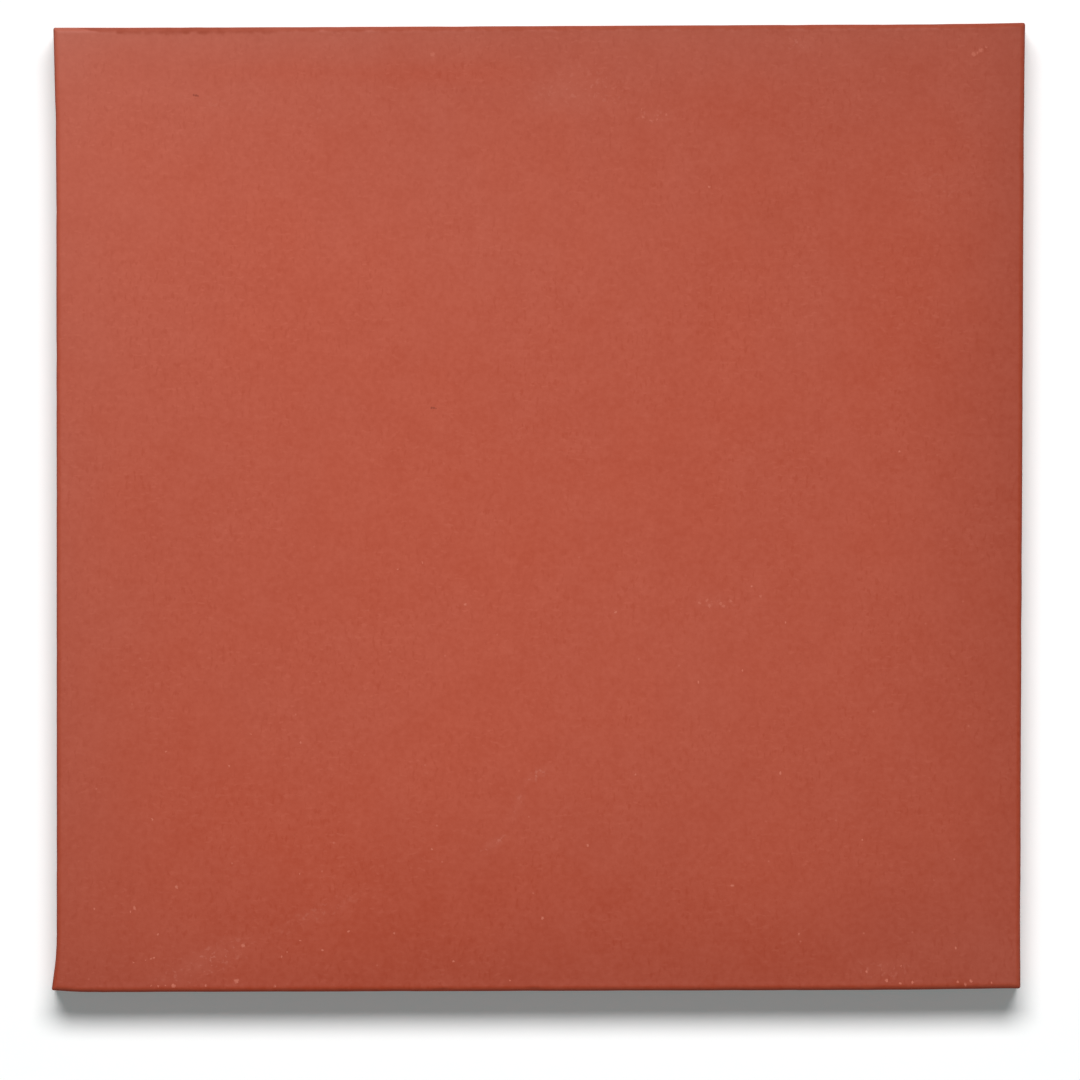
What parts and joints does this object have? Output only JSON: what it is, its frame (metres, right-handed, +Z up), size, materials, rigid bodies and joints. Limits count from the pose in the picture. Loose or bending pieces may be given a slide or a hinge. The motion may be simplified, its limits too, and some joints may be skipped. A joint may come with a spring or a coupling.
{
  "type": "terracotta floor tile",
  "caption": "Square unglazed terracotta floor tile: smooth matte brick-red wear face, softly rounded arrises, and a back with shallow recesses that key it to its bed.",
  "frame": {"origin": "middle of the back, on the plane that the tile is bedded on", "axes": "+Z up through the wear face, +Y towards the edge at the top of the picture, +X to its right"},
  "size_m": [0.2014, 0.2006, 0.016],
  "materials": {
    "terracotta": "matte unglazed fired clay"
  },
  "bodies": {
    "root": {"tile": "terracotta"}
  },
  "joints": []
}
